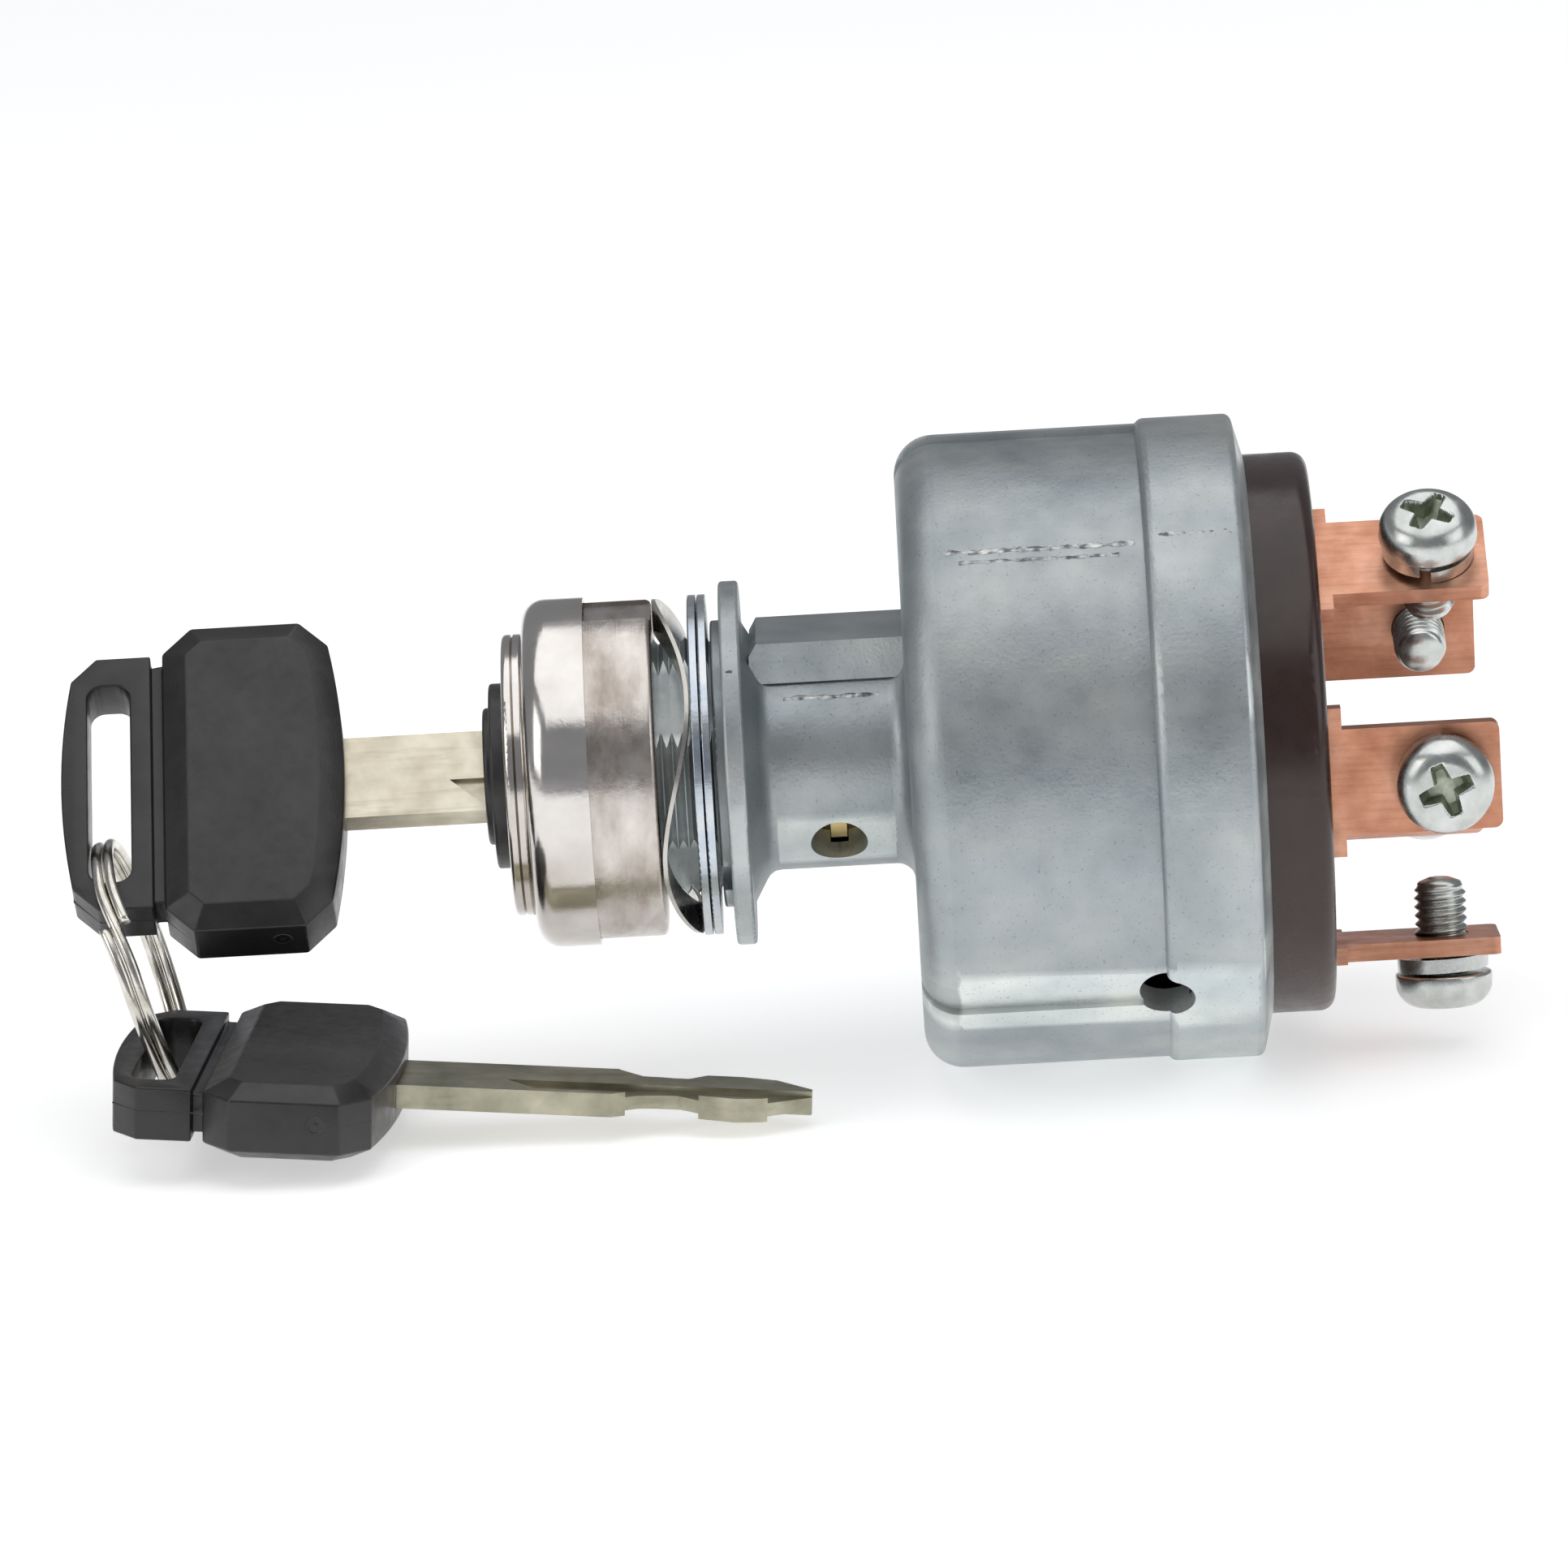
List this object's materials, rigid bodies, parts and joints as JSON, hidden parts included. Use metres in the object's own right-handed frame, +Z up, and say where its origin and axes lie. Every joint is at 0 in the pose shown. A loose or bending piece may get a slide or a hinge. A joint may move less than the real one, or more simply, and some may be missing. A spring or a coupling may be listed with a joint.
{
  "type": "selector key switch",
  "caption": "Round key-operated ignition selector switch with a threaded panel neck, cast housing, screw terminals behind, and two keys on a split ring.",
  "frame": {"origin": "centre of the housing flange's front face, on the switch axis: the face that seats behind the panel", "axes": "Y along the switch axis, with the key's side towards -Y and the terminals towards +Y; +Z up, through the rib on the neck; +X completes a right-handed frame"},
  "size_m": [0.0624, 0.1332, 0.06],
  "materials": {
    "cast_housing": "as-cast zinc alloy, mottled blue-grey, dull satin with small pits",
    "brown_base": "moulded phenolic, brown-black, semi-gloss",
    "terminal_screws": "bright zinc plate",
    "contact_copper": "bare copper, satin",
    "terminal_copper": "bare stamped copper, satin",
    "gasket_rubber": "matte",
    "spring_steel": "bright drawn or stamped steel",
    "turned_steel": "turned and ground",
    "zinc_washers": "bright blue zinc plate",
    "spring_washer": "bright plated spring steel",
    "bezel_plating": "bright nickel and chrome plate",
    "barrel_brass": "machined brass",
    "plug_plastic": "moulded, fine satin",
    "seal_rubber": "matte",
    "rotor_plastic": "moulded",
    "key_nickel": "nickel silver, tumbled satin",
    "key_plastic": "moulded black, fine satin",
    "ring_nickel": "bright nickel plate"
  },
  "bodies": {
    "housing": {"housing": "cast_housing", "terminal_base": "brown_base", "terminal_1": "terminal_copper", "terminal_2": "terminal_copper", "terminal_3": "terminal_copper", "terminal_4": "terminal_copper", "terminal_5": "terminal_copper", "terminal_screws": "terminal_screws", "lock_washers": "terminal_screws", "fixed_contacts": "contact_copper", "base_gasket": "gasket_rubber", "detent_plate": "spring_steel", "return_spring": "spring_steel", "thrust_washer": "turned_steel", "rear_flat_washer": "zinc_washers", "front_flat_washer": "zinc_washers", "wave_washer": "spring_washer", "bezel_nut": "bezel_plating", "bezel_shell": "bezel_plating", "bezel_plate": "bezel_plating"},
    "lock_barrel": {"lock_barrel": "barrel_brass", "plug_face": "plug_plastic", "keyway_seal": "seal_rubber", "tumbler_wafers": "barrel_brass", "wafer_springs": "spring_steel", "retainer": "barrel_brass", "retainer_spring": "spring_steel", "drive_shaft": "turned_steel", "shaft_clip": "spring_steel", "contact_rotor": "rotor_plastic", "contact_springs": "spring_steel", "contact_bridge": "contact_copper", "detent_balls": "turned_steel", "detent_springs": "spring_steel"},
    "ignition_key": {"key_blade": "key_nickel", "key_head": "key_plastic"},
    "split_ring": {"split_ring": "ring_nickel"},
    "spare_key": {"spare_key_blade": "key_nickel", "spare_key_head": "key_plastic"}
  },
  "joints": [
    {"name": "lock_turn", "type": "hinge", "parent": "housing", "child": "lock_barrel", "pos_m": [0, 0, 0], "axis": [0, 1, 0], "range_deg": [-45, 75]},
    {"name": "key_draw", "type": "slide", "parent": "lock_barrel", "child": "ignition_key", "axis": [0, -1, 0], "range_m": [0, 0.03]},
    {"name": "ring_swing", "type": "hinge", "parent": "ignition_key", "child": "split_ring", "pos_m": [0.00888, -0.0577, -0.00858], "axis": [0, 1, 0], "range_deg": [-45, 30]},
    {"name": "spare_key_round_ring", "type": "hinge", "parent": "split_ring", "child": "spare_key", "pos_m": [0.00485, -0.05529, -0.01566], "axis": [0, 0.965, 0.2622], "range_deg": [-40, 60]}
  ]
}
